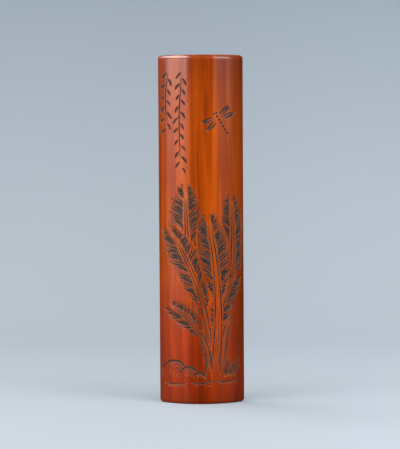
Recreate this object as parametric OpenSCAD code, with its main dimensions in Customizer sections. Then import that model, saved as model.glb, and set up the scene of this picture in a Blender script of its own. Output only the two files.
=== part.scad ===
// Carved bamboo wrist rest, standing on its lower end with the carved face towards -Y.
// The slab is split from one bamboo culm, so its face and its back belong to two coaxial cylinders.
// The picture is drawn in the front view, as [across, up] points, with gouge cuts that run to a point
// at both ends. Every cut holds ink, and the ink lies a little below the face.

/* [Slab] */
// Length of the slab along the grain
slab_length = 272; // [250:1:310]
// Width of the slab across its long edges
slab_width = 66; // [58:1:72]
// Outer radius of the culm that the slab is split from
culm_radius = 44; // [40:0.5:60]
// Thickness of the culm wall
wall = 6.5; // [5:0.5:9]
// Narrow flat that blunts each long edge
edge_flat = 1.2; // [0.6:0.1:2]
// Rounding of the top end's outer rim, worn by the hand
top_round = 4; // [1:0.25:4.25]
// Rounding of the standing end's outer rim
foot_round = 2; // [0.5:0.25:4]
// Rounding of both rims on the hollow side
back_round = 1.8; // [0.6:0.1:2]
// Radius of the top corners in the front view
top_corner = 2; // [1:0.5:6]
// Radius of the standing end's corners in the front view
foot_corner = 3; // [1:0.5:6]

/* [Cuts] */
// Depth of the cuts below the face
cut_depth = 0.9; // [0.5:0.05:1.5]
// How far the ink lies below the face
ink_recess = 0.2; // [0.1:0.05:0.35]
// Width of an outline cut at its middle
line_width = 0.8; // [0.5:0.05:1]
// Uncut bamboo left between a front leaf and what it hides
reserve = 0.8; // [0.4:0.1:1.5]
// Uncut border along each long edge
edge_margin = 1.6; // [1.2:0.1:4]

/* [Leaves] */
// Distance between neighbouring vein cuts along a rib
vein_pitch = 5.6; // [5:0.1:9]
// Width of a vein cut at its middle
vein_width = 2.6; // [1.4:0.1:3]
// Angle between a vein cut and its rib
vein_angle = 50; // [42:1:65]
// Uncut bamboo between a rib and its vein cuts
rib_gap = 1.1; // [1:0.05:1.6]
// Width of a leaf stalk at its foot
stalk_width = 3.4; // [2.4:0.1:5]
// Width of the front leaf's stalk at its foot
front_stalk_width = 4.6; // [3:0.1:6]

/* [Willow] */
// Distance from the slab's top to the top of both sprigs
sprig_drop = 9; // [6:0.5:14]
// Length of the long hanging sprig
long_sprig_length = 80; // [60:1:84]
// Length of the short hanging sprig
short_sprig_length = 50; // [36:1:58]
// Distance between neighbouring leaflets along a sprig
leaflet_pitch = 6.4; // [5.5:0.1:9]
// Length of one leaflet
leaflet_length = 7; // [5:0.25:7.5]
// Width of one leaflet
leaflet_width = 2; // [1:0.1:2.2]

/* [Dragonfly] */
// Distance from the slab's top to the dragonfly's shoulders
dragonfly_drop = 50; // [35:1:60]
// Length of the body
dragonfly_length = 19; // [14:0.5:24]
// Length of one wing
wing_length = 13; // [9:0.5:15]
// Width of one wing
wing_width = 3.4; // [2:0.1:4]

/* [Ground] */
// Height of the ground over the lower end
ground_height = 18; // [12:0.5:22]
// Width of a ground cut at its middle
ground_width = 1.1; // [0.7:0.1:1.6]
// Width of a stone's outline at its crown
stone_line = 1.6; // [0.8:0.1:2]
// Length of one blade of grass
grass_length = 14; // [8:0.5:18]
// Number of blades of grass
grass_count = 9; // [4:1:10]

/* [Hidden] */

// The front of the slab is at -slab_depth / 2 and its desk side is at slab_depth / 2
edge_depth = sqrt(culm_radius * culm_radius - slab_width * slab_width / 4);
slab_depth = culm_radius - edge_depth + edge_flat;
axis_y = culm_radius - slab_depth / 2;
back_radius = culm_radius - wall;

// Each end keeps a narrow flat between its two rounded rims
least_flat = 0.4;
most_round = wall - back_round - least_flat;
top_rim = min(top_round, most_round);
foot_rim = min(foot_round, most_round);

// A cutter reaches this far past the face
overshoot = 1;

// A cut's side never rises less than this, and its facets stay this close to its arc
least_rise = 0.03;
facet_error = 0.003;

// Turn between the numbers of a row, which varies hand-cut lengths and widths without a visible rhythm
golden_angle = 137.5;

// A leaf rises from its foot to its tip. Its rib bows to the left of that way, its blade reaches left
// and right of the rib, the stalk is bare up to the share named bare, and the rib's outlines start at the
// share named clear, where the leaf comes out from behind its neighbours.
function leaf(foot, tip, bow, left, right, bare, clear, stalk) =
    [foot, tip, bow, left, right, bare, clear, stalk];
function foot_of(leaf) = leaf[0];
function tip_of(leaf) = leaf[1];
function bow_of(leaf) = leaf[2];
function reach_of(leaf, side) = side > 0 ? leaf[3] : leaf[4];
function bare_of(leaf) = leaf[5];
function clear_of(leaf) = leaf[6];
function stalk_of(leaf) = leaf[7];

// Leaves from back to front, as they overlap
foot_height = ground_height + 1.5;
LEAVES = [
    leaf([8.6, foot_height], [-12, 173], 6, 13, 12, 0.46, 0.74, stalk_width),
    leaf([11.8, foot_height], [23, 166], -6, 10, 9, 0.46, 0.62, stalk_width),
    leaf([6, foot_height], [-28, 140], -11, 12, 11, 0.42, 0.42, stalk_width),
    leaf([13, foot_height], [29, 103], 9, 9, 9, 0.4, 0.7, stalk_width),
    leaf([9.5, foot_height], [4, 150], -6, 12.5, 12, 0.46, 0, front_stalk_width),
    leaf([5, foot_height], [-28, 78], -12, 9, 8, 0.45, 0, stalk_width),
];
TALL = 0;
RIGHT = 1;
LEFT = 2;
LOW = 3;
FRONT = 4;
DROOPING = 5;

// Share of a stalk's foot width that its rib has lost at the tip, and where its outlines end, how far apart
rib_taper = 0.8;
rib_end = 0.95;
rib_belly = 0.06;
rib_tip = 1.4;
// Shares that shape a blade's outline, and the row of veins that is left out as a tear
blade_lean = 0.85;
blade_fullness = 0.55;
tear_every = 9;
least_vein = 1.8;
vein_bow = 0.08;
vein_slimness = 0.28;
outline_steps = 20;

// Stones from back to front, each its left end, its right end and its height
STONES = [[-30, -13, 15], [-17.5, -3, 10.5], [-7, 3, 6]];
shade_count = 2;

// Ground cuts and grass
ground_cut_count = 3;
ground_cut_length = 19;
ground_from = -30;
grass_from = slab_width / 2 - 15.5;
grass_pitch = 1.05;
grass_width = 0.9;
grass_fan = 5;
grass_bend = 0.25;

// Across places of the sprigs, and their lean and bow from top to end
long_sprig_across = -13.5;
short_sprig_across = -24.5;
sprig_lean = -1.5;
sprig_bow = -2.4;
leaflet_spread = 36;
leaflet_gap = 1.3;
leaflet_bow = 0.7;

// Place and build of the dragonfly
dragonfly_across = 14;
dragonfly_turn = 122;
body_width = 1.6;
head_width = 2.6;
head_length = 3.6;
wing_gap = 1.9;

function wobble(number) = sin(golden_angle * number);
function along(leaf) = tip_of(leaf) - foot_of(leaf);
function chord_of(leaf) = norm(along(leaf));
function heading(way) = atan2(way.y, way.x);
function turned(angle, length) = length * [cos(angle), sin(angle)];

// Height of a bowed line over its chord, and the point there, at a share of its length
function rise(bow, share) = 4 * bow * share * (1 - share);
function on_bow(start, end, bow, share) =
    let (way = end - start)
    start + share * way + turned(heading(way) + 90, rise(bow, share));

// Rib of a leaf: its point, its direction and its half width at a share of its length
function rib_point(leaf, share) = on_bow(foot_of(leaf), tip_of(leaf), bow_of(leaf), share);
function rib_heading(leaf, share) =
    heading(along(leaf)) + atan(4 * bow_of(leaf) * (1 - 2 * share) / chord_of(leaf));
function rib_half(leaf, share) = stalk_of(leaf) / 2 * (1 - rib_taper * share);

// Half width of the blade on one side, at a share of the rib's length
function blade_half(leaf, side, share) =
    let (part = (share - bare_of(leaf)) / (1 - bare_of(leaf)))
    part <= 0 || part >= 1 ? 0 : reach_of(leaf, side) * pow(sin(180 * pow(part, blade_lean)), blade_fullness);

// Where a vein leaves the rib, and the vector from there to a blade edge that is half away from the rib
function vein_start(leaf, side, share) =
    rib_point(leaf, share) + turned(rib_heading(leaf, share) + 90, side * (rib_half(leaf, share) + rib_gap));
function vein_way(leaf, side, share, half) =
    let (reach = max(0, half - rib_half(leaf, share) - rib_gap))
    turned(rib_heading(leaf, share) + side * vein_angle, reach / sin(vein_angle));

// Radius of the arc over a chord that rises by rise, and the facets that keep to a circle of that radius
function arc_radius(chord, rise) = (chord * chord / 4 + rise * rise) / (2 * abs(rise));
function facets(radius) = ceil(180 / acos(1 - facet_error / radius));

// Disc whose edge passes through [0, 0] and [chord, 0] and rises by rise between them
module bowed_disc(chord, rise) {
    radius = arc_radius(chord, rise);
    translate([chord / 2, rise - sign(rise) * radius]) circle(radius, $fn = facets(radius));
}

// Line of even width along an arc that bows to the left of its way
module line(start, end, bow, width) {
    way = end - start;
    chord = norm(way);
    rise = abs(bow) < least_rise ? least_rise : bow;
    radius = arc_radius(chord, rise);
    translate(start) rotate(heading(way))
        intersection() {
            translate([chord / 2, rise - sign(rise) * radius]) difference() {
                circle(radius + width / 2, $fn = facets(radius));
                circle(radius - width / 2, $fn = facets(radius));
            }
            translate([0, min(0, rise) - width]) square([chord, abs(rise) + 2 * width]);
        }
}

// Gouge cut that runs to a point at both ends and bows to the left of its way
module gouge(start, end, bow, width) {
    way = end - start;
    chord = norm(way);
    right = abs(bow - width / 2) < least_rise ? -least_rise : bow - width / 2;
    left = abs(bow + width / 2) < least_rise ? least_rise : bow + width / 2;
    translate(start) rotate(heading(way)) {
        if (right > 0)
            difference() {
                bowed_disc(chord, left);
                bowed_disc(chord, right);
            }
        else if (left < 0)
            difference() {
                bowed_disc(chord, right);
                bowed_disc(chord, left);
            }
        else
            intersection() {
                bowed_disc(chord, left);
                bowed_disc(chord, right);
            }
    }
}

// Vein cuts of one leaf, with a row left out here and there where the blade is torn
module vein_cuts(leaf, number) {
    bare = bare_of(leaf);
    count = floor(chord_of(leaf) * (1 - bare) / vein_pitch);
    for (side = [-1, 1], k = [0 : count - 1]) {
        key = k + 31 * number + (side > 0 ? 17 : 0);
        share = bare + (1 - bare) * (k + 0.4) / count;
        half = blade_half(leaf, side, share) * (0.9 + 0.12 * wobble(key));
        start = vein_start(leaf, side, share);
        way = vein_way(leaf, side, share, half);
        width = min(vein_width, vein_slimness * norm(way)) * (1 + 0.06 * wobble(3 * key));
        if (norm(way) > least_vein && key % tear_every != 4)
            gouge(start, start + way, -side * vein_bow * norm(way), width);
    }
}

// Two outline cuts that leave the rib standing between them
module rib_cuts(leaf) {
    clear = clear_of(leaf);
    part = clear / rib_end;
    offset = stalk_of(leaf) / 2 * (1 - part) + rib_tip / 2 * part;
    bow = bow_of(leaf) * pow(rib_end - clear, 2);
    for (side = [-1, 1]) {
        start = rib_point(leaf, clear) + turned(rib_heading(leaf, clear) + 90, side * offset);
        end = rib_point(leaf, rib_end) + turned(rib_heading(leaf, rib_end) + 90, side * rib_tip / 2);
        line(start, end, bow + side * rib_belly * stalk_of(leaf), line_width);
    }
}

// Outline of a whole leaf, grown by the reserve and carried on below the foot, which hides what lies behind
module leaf_shape(leaf) {
    edge = function (side, share)
        let (way = vein_way(leaf, side, share, blade_half(leaf, side, share) * 1.02),
             away = turned(rib_heading(leaf, share) + 90, side * (reserve - rib_gap / 2)))
        vein_start(leaf, side, share) + way + away;
    polygon(concat(
        [for (i = [-1 : outline_steps]) edge(1, i / outline_steps)],
        [for (i = [outline_steps : -1 : -1]) edge(-1, i / outline_steps)]
    ));
}

// Outline of one stone, which hides what lies behind it
module stone_shape(stone)
    translate([stone[0], foot_height]) bowed_disc(stone[1] - stone[0], stone[2] + reserve);

module hidden_by_leaves(first) {
    difference() {
        children();
        for (nearer = [first : 1 : len(LEAVES) - 1]) leaf_shape(LEAVES[nearer]);
    }
}

module hidden_by_stones(first) {
    difference() {
        children();
        for (nearer = [first : 1 : len(STONES) - 1]) stone_shape(STONES[nearer]);
    }
}

// Cuts of one leaf that are left in sight
module leaf_cuts(number) {
    hidden_by_stones(0) hidden_by_leaves(number + 1) {
        vein_cuts(LEAVES[number], number);
        rib_cuts(LEAVES[number]);
    }
}

// Outline of each stone, and smaller arcs inside it that shade its right side
module stone_cuts() {
    for (number = [0 : len(STONES) - 1]) {
        left = STONES[number][0];
        width = STONES[number][1] - left;
        height = STONES[number][2];
        hidden_by_stones(number + 1) {
            gouge([left, foot_height], [left + width, foot_height], height - stone_line / 2, stone_line);
            for (k = [1 : shade_count])
                gouge(
                    [left + (0.2 + 0.18 * k) * width, foot_height + 0.12 * height],
                    [left + 0.9 * width, foot_height + 0.1 * height],
                    (0.82 - 0.26 * k) * height,
                    line_width
                );
        }
    }
}

module ground_cuts() {
    for (i = [0 : ground_cut_count - 1]) {
        start = [ground_from + (ground_cut_length + 1) * i, ground_height - 2.2 + i];
        gouge(start, start + [ground_cut_length, 0.8], -0.9, ground_width);
    }
}

module grass_cuts() {
    hidden_by_leaves(0)
        for (k = [0 : grass_count - 1]) {
            from_middle = k - (grass_count - 1) / 2;
            start = [grass_from + grass_pitch * k, ground_height + 2.4];
            way = turned(90 - grass_fan * from_middle, grass_length * (1 + 0.2 * wobble(2 * k)));
            gouge(start, start + way, grass_bend * from_middle, grass_width);
        }
}

// Hanging willow sprig with leaflets on alternate sides of its stem
module sprig_cuts(across, length) {
    top = [across, slab_length - sprig_drop];
    end = top + [sprig_lean, -length];
    count = floor(length / leaflet_pitch);
    hidden_by_leaves(0) {
        line(top, end, sprig_bow, line_width);
        for (k = [1 : count]) {
            side = k % 2 == 0 ? 1 : -1;
            root = on_bow(top, end, sprig_bow, k / (count + 0.5));
            way = heading(end - top) + side * (leaflet_spread + 6 * wobble(k));
            tip = root + turned(way, leaflet_length * (1 + 0.12 * wobble(3 * k)));
            gouge(root + turned(way, leaflet_gap), tip, side * leaflet_bow, leaflet_width);
        }
    }
}

// Dragonfly about its shoulders, flying along its own X
module dragonfly_cuts() {
    hidden_by_leaves(0)
        translate([dragonfly_across, slab_length - dragonfly_drop]) rotate(dragonfly_turn) {
            gouge([-0.75 * dragonfly_length, 0], [0.2 * dragonfly_length, 0], 0.6, body_width);
            translate([0.25 * dragonfly_length, 0])
                gouge([0, -head_length / 2], [0, head_length / 2], 0, head_width);
            for (side = [-1, 1], pair = [0, 1]) {
                root = [2 - 2.4 * pair, side * wing_gap];
                gouge(root, root + turned(side * (78 + 24 * pair), wing_length), side * 0.5, wing_width);
            }
        }
}

module all_cuts() {
    for (number = [0 : len(LEAVES) - 1]) leaf_cuts(number);
    stone_cuts();
    grass_cuts();
    ground_cuts();
    sprig_cuts(long_sprig_across, long_sprig_length);
    sprig_cuts(short_sprig_across, short_sprig_length);
    dragonfly_cuts();
}

// Outer half of the round that eases an outer rim
module rim_disc(round, z) {
    translate([culm_radius - round, z]) intersection() {
        circle(round, $fn = 48);
        translate([0, -round - overshoot]) square([round + overshoot, 2 * (round + overshoot)]);
    }
}

// Section of the culm wall with rounded rims
module culm_profile() {
    inner = back_radius + back_round;
    translate([back_radius, back_round]) square([wall / 2, slab_length - 2 * back_round]);
    translate([inner, foot_rim]) square([culm_radius - inner, slab_length - foot_rim - top_rim]);
    translate([inner, 0]) square([culm_radius - foot_rim - inner, slab_length / 2]);
    translate([inner, slab_length / 2]) square([culm_radius - top_rim - inner, slab_length / 2]);
    for (z = [back_round, slab_length - back_round]) translate([inner, z]) circle(back_round, $fn = 48);
    rim_disc(foot_rim, foot_rim);
    rim_disc(top_rim, slab_length - top_rim);
}

// Front outline of the slab, with its corners rounded
module front_outline() {
    half = slab_width / 2;
    translate([-half, foot_corner]) square([slab_width, slab_length - foot_corner - top_corner]);
    translate([-half + foot_corner, 0]) square([slab_width - 2 * foot_corner, slab_length / 2]);
    translate([-half + top_corner, slab_length / 2]) square([slab_width - 2 * top_corner, slab_length / 2]);
    for (side = [-1, 1]) {
        translate([side * (half - foot_corner), foot_corner]) circle(foot_corner, $fn = 48);
        translate([side * (half - top_corner), slab_length - top_corner]) circle(top_corner, $fn = 48);
    }
}

// Front view drawing, kept off the long edges and carried through the whole depth of the slab
module through_slab() {
    field = slab_width - 2 * edge_margin;
    translate([0, slab_depth / 2, 0]) rotate([90, 0, 0]) linear_extrude(slab_depth + overshoot)
        intersection() {
            children();
            translate([-field / 2, 0]) square([field, slab_length]);
        }
}

module slab_blank() {
    intersection() {
        translate([0, axis_y, 0]) rotate_extrude($fn = 360) culm_profile();
        translate([0, slab_depth / 2, 0]) rotate([90, 0, 0]) linear_extrude(slab_depth) front_outline();
    }
}

// Shell between two depths under the face
module face_shell(deep, shallow) {
    translate([0, axis_y, -overshoot]) difference() {
        cylinder(r = culm_radius - shallow, h = slab_length + 2 * overshoot, $fn = 360);
        translate([0, 0, -overshoot])
            cylinder(r = culm_radius - deep, h = slab_length + 4 * overshoot, $fn = 360);
    }
}

module bamboo_slab() {
    color("#a8521a")
        difference() {
            slab_blank();
            intersection() {
                face_shell(cut_depth, -overshoot);
                through_slab() all_cuts();
            }
        }
}

// Ink that fills the cuts of one part of the picture
module ink() {
    color("#3a2a24")
        intersection() {
            slab_blank();
            face_shell(cut_depth, ink_recess);
            through_slab() children();
        }
}

module tall_leaf_ink() { ink() leaf_cuts(TALL); }
module right_leaf_ink() { ink() leaf_cuts(RIGHT); }
module left_leaf_ink() { ink() leaf_cuts(LEFT); }
module low_leaf_ink() { ink() leaf_cuts(LOW); }
module front_leaf_ink() { ink() leaf_cuts(FRONT); }
module drooping_leaf_ink() { ink() leaf_cuts(DROOPING); }
module stones_ink() { ink() stone_cuts(); }
module grass_ink() { ink() grass_cuts(); }
module ground_ink() { ink() ground_cuts(); }
module long_sprig_ink() { ink() sprig_cuts(long_sprig_across, long_sprig_length); }
module short_sprig_ink() { ink() sprig_cuts(short_sprig_across, short_sprig_length); }
module dragonfly_ink() { ink() dragonfly_cuts(); }

bamboo_slab();
tall_leaf_ink();
right_leaf_ink();
left_leaf_ink();
low_leaf_ink();
front_leaf_ink();
drooping_leaf_ink();
stones_ink();
grass_ink();
ground_ink();
long_sprig_ink();
short_sprig_ink();
dragonfly_ink();
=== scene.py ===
"""Carved bamboo wrist rest, standing on its lower end in a pale studio.

The slab is spun from the culm wall, cut to its front outline and refined where the picture lies. Gouge cuts,
drawn in the front view in millimetres, press into its face, and the ink in each part of the picture is a
piece of its own that lies in the cuts.
"""

import logging
import math
from collections import Counter
from dataclasses import dataclass, field
from enum import Enum
from typing import Any, Iterable, Optional

import bmesh
import bpy
import numpy as np
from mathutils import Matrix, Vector


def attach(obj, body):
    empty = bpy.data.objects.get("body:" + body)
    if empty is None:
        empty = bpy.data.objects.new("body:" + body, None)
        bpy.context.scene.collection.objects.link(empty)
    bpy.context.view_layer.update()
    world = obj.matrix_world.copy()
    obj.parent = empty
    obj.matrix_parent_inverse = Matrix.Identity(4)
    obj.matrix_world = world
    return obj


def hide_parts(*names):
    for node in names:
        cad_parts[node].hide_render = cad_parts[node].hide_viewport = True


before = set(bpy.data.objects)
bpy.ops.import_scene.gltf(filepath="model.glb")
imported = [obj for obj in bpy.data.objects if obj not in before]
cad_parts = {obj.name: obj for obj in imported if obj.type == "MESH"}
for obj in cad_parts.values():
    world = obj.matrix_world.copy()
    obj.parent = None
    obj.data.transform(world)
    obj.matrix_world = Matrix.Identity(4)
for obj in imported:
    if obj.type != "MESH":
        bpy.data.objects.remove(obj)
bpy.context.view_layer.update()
LOG = logging.getLogger("wrist_rest")

MM = 0.001
BODY = "root"
GOLDEN_ANGLE = 137.5
SIDES = (1, -1)
# Columns of X and Z, which make up the front view
FRONT = [0, 2]
# Distance in millimetres beyond anything in the picture, and one that counts as none
FAR = 99.0
TINY = 1e-6
# Steps between the wobbles of two leaves, and of a leaf's two sides
LEAF_KEY = 31
SIDE_KEY = 17

Pair = tuple[float, float]
Triple = tuple[float, float, float]
# Low and high value, and the values that they become
Span = tuple[float, float, float, float]
Stops = tuple[tuple[float, Triple], ...]
Curve = tuple[Pair, ...]
Socket = bpy.types.NodeSocket
Shape = bmesh.types.BMesh


class Surface(Enum):
    """Material places on the slab."""

    SKIN = 0
    FLESH = 1
    END_GRAIN = 2


def wobble(number: float) -> float:
    """Return a fixed value from -1 to 1 that varies hand-cut lengths without a visible rhythm."""
    return math.sin(math.radians(GOLDEN_ANGLE * number))


def vary(spread: Pair, number: float) -> float:
    """Return a mean, moved by its spread times the wobble of a number."""
    return spread[0] + spread[1] * wobble(number)


def polar(angle: float, length: float) -> np.ndarray:
    """Return the vector of a length at an angle in degrees."""
    return length * np.array([math.cos(math.radians(angle)), math.sin(math.radians(angle))])


def heading(way: np.ndarray) -> float:
    """Return the angle of a vector in degrees."""
    return math.degrees(math.atan2(way[1], way[0]))


def norm(way: np.ndarray) -> float:
    """Return the length of a vector."""
    return float(np.linalg.norm(way))


def arch(rise: float, share: float) -> float:
    """Return the height of a parabola at a share of its chord."""
    return 4 * rise * share * (1 - share)


def arc_radius(chord: float, rise: float) -> float:
    """Return the radius of the arc that rises over a chord."""
    return (chord * chord / 4 + rise * rise) / (2 * rise)


def ease(low: float, high: float, value: np.ndarray) -> np.ndarray:
    """Return a smooth step from 0 at low to 1 at high."""
    part = np.clip((value - low) / (high - low), 0.0, 1.0)
    return part * part * (3.0 - 2.0 * part)


def make_object(shape: Shape, name: str, materials: Iterable[bpy.types.Material]) -> bpy.types.Object:
    """Turn a mesh in metres into an object in the scene.

    Args:
        shape: Finished mesh, which is freed.
        name: Name of the object.
        materials: Materials in the order of the faces' numbers.

    Returns:
        The new object.
    """
    mesh = bpy.data.meshes.new(name)
    shape.to_mesh(mesh)
    shape.free()
    for material in materials:
        mesh.materials.append(material)
    piece = bpy.data.objects.new(name, mesh)
    bpy.context.collection.objects.link(piece)
    return piece


@dataclass(frozen=True)
class Gouge:
    """Cut that runs to a point at both ends, between two arcs over one chord.

    Args:
        start: Front view point where the cut starts, in millimetres.
        end: Front view point where the cut ends.
        bow: Rise of the cut's middle line, to the left of its way.
        width: Width at the middle.
        depth: Greatest depth below the face.
        slope: Greatest depth as a share of the width there.
        fullness: Power of the round bottom's curve, fuller when lower.
        least_rise: Rise under which an arc counts as straight.
        high_bow: Share of the chord from which the arcs swell past their ends.
        swell: Growth of the box of such a cut.
    """

    start: np.ndarray
    end: np.ndarray
    bow: float
    width: float
    depth: float = 0.9
    slope: float = 0.75
    fullness: float = 0.7
    least_rise: float = 0.01
    high_bow: float = 0.3
    swell: float = 1.4

    def box(self, margin: float) -> tuple[np.ndarray, np.ndarray]:
        """Find the box round the cut.

        Args:
            margin: Distance by which the box grows.

        Returns:
            Its low and its high corner.
        """
        grow = abs(self.bow) + self.width / 2 + margin
        if abs(self.bow) > self.high_bow * norm(self.end - self.start):
            grow *= self.swell
        return np.minimum(self.start, self.end) - grow, np.maximum(self.start, self.end) + grow

    def sides(self, points: np.ndarray) -> tuple[np.ndarray, np.ndarray]:
        """Measure points from both arcs of the cut.

        Args:
            points: Front view points, one row each.

        Returns:
            Distances to the left and to the right arc, both positive inside the cut.
        """
        chord = norm(self.end - self.start)
        along = (self.end - self.start) / chord
        local = points - self.start
        u = local @ along
        v = local @ np.array([-along[1], along[0]])
        found = []
        for keep in SIDES:
            rise = self.bow + keep * self.width / 2
            if abs(rise) < self.least_rise:
                rise = self.least_rise * keep
            radius = arc_radius(chord, abs(rise))
            inside = radius - np.hypot(u - chord / 2, v - rise + math.copysign(radius, rise))
            found.append(inside if keep * rise > 0 else -inside)
        return found[0], found[1]

    def depths(self, points: np.ndarray) -> np.ndarray:
        """Measure the round-bottomed cut at points.

        Args:
            points: Front view points, one row each.

        Returns:
            Depth of the cut at each point, 0 outside it.
        """
        left, right = self.sides(points)
        wide = np.maximum(left + right, TINY)
        shape = np.clip(4 * left * right / (wide * wide), 0.0, 1.0) ** self.fullness
        deepest = np.minimum(self.depth, self.slope * wide)
        return np.where((left > 0) & (right > 0), deepest * shape, 0.0)


@dataclass
class Motif:
    """One part of the picture, with the name of the node that holds its ink.

    In all motifs lengths are in millimetres and angles in degrees. A field ending in _cut holds the width and
    depth of a cut, or its bow, width and depth. A field ending in _spread holds a mean, and how far the
    wobble moves it.
    """

    node: str

    def gouges(self) -> list[Gouge]:
        """Return the cuts of the motif."""
        return []

    def outline(self) -> Optional[np.ndarray]:
        """Return the outline that hides what lies behind the motif, if it hides anything."""
        return None

    def relief(self, points: np.ndarray) -> np.ndarray:
        """Return how far the motif's ground lies below the face at points."""
        return np.zeros(len(points))


@dataclass
class PlantainLeaf(Motif):
    """Long torn leaf on a stalk, with a raised rib and feathered vein cuts."""

    number: int
    foot: Pair
    tip: Pair
    bow: float
    left: float
    right: float
    bare: float
    stalk: float = 4.8
    pitch: float = 2.2
    vein_width: float = 1.55
    vein_angle: float = 50.0
    vein_slimness: float = 0.3
    first_vein: float = 0.4
    least_vein: float = 1.6
    tear_every: int = 11
    tear_at: int = 4
    edge_spread: Pair = (0.9, 0.15)
    turn_spread: Pair = (0.0, 5.0)
    reach_spread: Pair = (0.94, 0.08)
    start_spread: Pair = (0.03, 0.05)
    bow_spread: Pair = (0.08, 0.05)
    width_spread: Pair = (1.0, 0.2)
    hair_spread: Pair = (0.72, 0.1)
    hair_end: float = 1.12
    hair_cut: Pair = (0.8, 0.5)
    rib_gap: float = 0.75
    rib_taper: float = 0.8
    rib_spans: tuple[Pair, ...] = ((0.0, 0.42), (0.2, 0.72), (0.5, 0.96))
    rib_cut: Pair = (1.0, 0.8)
    foot_bow: float = -0.3
    foot_cut: Pair = (0.9, 0.7)
    line_starts: tuple[float, ...] = (0.07, 0.05, 0.03)
    line_spread: Pair = (0.38, 0.14)
    line_cut: Pair = (0.5, 0.35)
    blade_lean: float = 0.85
    blade_fullness: float = 0.55
    reserve: float = 0.8
    outline_reach: float = 1.02
    outline_steps: int = 36
    hollow: float = 0.26
    hollow_rim: Pair = (0.2, 2.4)
    rib_samples: tuple[float, float, int] = (-0.05, 1.0, 110)

    def way(self) -> np.ndarray:
        """Return the vector from the foot to the tip."""
        return np.array(self.tip) - np.array(self.foot)

    def rib(self, share: float) -> np.ndarray:
        """Return the rib's point at a share of its length."""
        across = polar(heading(self.way()) + 90, arch(self.bow, share))
        return np.array(self.foot) + share * self.way() + across

    def turn(self, share: float) -> float:
        """Return the rib's direction in degrees at a share of its length."""
        slope = 4 * self.bow * (1 - 2 * share) / norm(self.way())
        return heading(self.way()) + math.degrees(math.atan(slope))

    def beside(self, share: float, aside: float) -> np.ndarray:
        """Return the point at a distance to the left of the rib."""
        return self.rib(share) + polar(self.turn(share) + 90, aside)

    def rib_half(self, share: float) -> float:
        """Return half the rib's width at a share of its length."""
        return self.stalk / 2 * (1 - self.rib_taper * share)

    def blade_half(self, side: int, share: float) -> float:
        """Find the reach of the blade.

        Args:
            side: 1 for the left of the rib, -1 for the right.
            share: Share of the rib's length.

        Returns:
            Distance of the blade's edge from the rib.
        """
        part = (share - self.bare) / (1 - self.bare)
        if part <= 0 or part >= 1:
            return 0.0
        swell = math.sin(math.pi * part ** self.blade_lean) ** self.blade_fullness
        return (self.left if side > 0 else self.right) * swell

    def vein(self, side: int, share: float, half: float) -> tuple[np.ndarray, np.ndarray]:
        """Place a vein between the rib and the blade's edge.

        Args:
            side: 1 for the left of the rib, -1 for the right.
            share: Share of the rib's length where the vein leaves it.
            half: Distance of the blade's edge from the rib.

        Returns:
            The vein's start, and the vector to its end.
        """
        inner = self.rib_half(share) + self.rib_gap
        reach = max(0.0, half - inner) / math.sin(math.radians(self.vein_angle))
        return self.beside(share, side * inner), polar(self.turn(share) + side * self.vein_angle, reach)

    def veins(self, side: int) -> list[Gouge]:
        """Draw the veins on one side of the rib, each with a hair stroke beside its end.

        Args:
            side: 1 for the left of the rib, -1 for the right.

        Returns:
            The cuts.
        """
        count = int(norm(self.way()) * (1 - self.bare) / self.pitch)
        cuts = []
        for k in range(count):
            key = k + LEAF_KEY * self.number + (SIDE_KEY if side > 0 else 0)
            share = self.bare + (1 - self.bare) * (k + self.first_vein) / count
            half = self.blade_half(side, share) * vary(self.edge_spread, key)
            start, way = self.vein(side, share, half)
            length = norm(way)
            if length < self.least_vein or key % self.tear_every == self.tear_at:
                continue
            turned = heading(way) + vary(self.turn_spread, 11 * key)
            way = polar(turned, length * vary(self.reach_spread, 7 * key))
            start = start + way * vary(self.start_spread, 5 * key)
            bow = -side * length * vary(self.bow_spread, 2 * key)
            width = min(self.vein_width, self.vein_slimness * length) * vary(self.width_spread, 3 * key)
            cuts.append(Gouge(start, start + way, bow, width))
            shift = polar(self.turn(share), self.pitch / 2)
            hair = [start + way * part + shift for part in (vary(self.hair_spread, key), self.hair_end)]
            cuts.append(Gouge(hair[0], hair[1], bow / 4, *self.hair_cut))
        return cuts

    def gouges(self) -> list[Gouge]:
        """Return the vein cuts, the rib's two outlines, and the foot and fine lines of the stalk."""
        cuts = self.veins(1) + self.veins(-1)
        for side in SIDES:
            for low, high in self.rib_spans:
                start, end = (self.beside(t, side * self.rib_half(t)) for t in (low, high))
                cuts.append(Gouge(start, end, self.bow * (high - low) ** 2, *self.rib_cut))
        feet = [self.beside(0.0, side * self.stalk / 2) for side in SIDES]
        cuts.append(Gouge(feet[0], feet[1], self.foot_bow * self.stalk, *self.foot_cut))
        for k, begin in enumerate(self.line_starts, 1):
            aside = (0.5 - k / (len(self.line_starts) + 1)) * self.stalk
            start = self.rib(begin) + polar(self.turn(0.0) + 90, aside)
            stop = vary(self.line_spread, k + self.number)
            end = self.beside(stop, aside * (1 - self.rib_taper * stop))
            cuts.append(Gouge(start, end, self.bow * stop * stop, *self.line_cut))
        return cuts

    def outline(self) -> np.ndarray:
        """Return the outline of stalk and blade, grown by the uncut reserve."""
        grow = self.reserve - self.rib_gap / 2
        rows = []
        for side in SIDES:
            edge = []
            for i in range(-1, self.outline_steps + 1):
                share = i / self.outline_steps
                start, way = self.vein(side, share, self.blade_half(side, share) * self.outline_reach)
                edge.append(start + way + polar(self.turn(share) + 90, side * grow))
            rows.append(edge if side > 0 else edge[::-1])
        return np.array(rows[0] + rows[1])

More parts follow.
